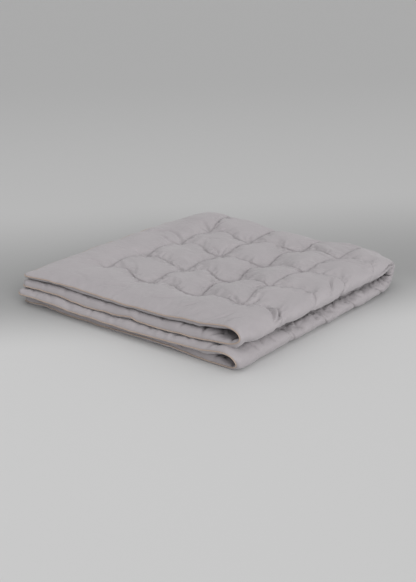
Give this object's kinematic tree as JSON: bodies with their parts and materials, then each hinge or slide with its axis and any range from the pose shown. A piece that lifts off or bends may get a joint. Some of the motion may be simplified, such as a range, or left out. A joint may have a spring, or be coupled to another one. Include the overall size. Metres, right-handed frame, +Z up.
{
  "type": "throw blanket",
  "caption": "Filled and quilted cotton throw with a thin corded hem, folded in half and in half again, lying flat in a soft square stack.",
  "frame": {"origin": "under the middle of the stack's box, on the surface it lies on", "axes": "+X towards the side of the first fold, +Y towards the second fold, +Z up; the hems lie on the -X and -Y sides"},
  "size_m": [0.701, 0.727, 0.1077],
  "materials": {
    "quilted_cotton": "matt plain-weave cotton, warm grey with a slight lilac cast, stitched through with thread of the same colour",
    "piping_cotton": "matt tan cotton over a thin cord"
  },
  "bodies": {
    "root": {"quilt": "quilted_cotton", "edge_piping": "piping_cotton"}
  },
  "joints": []
}
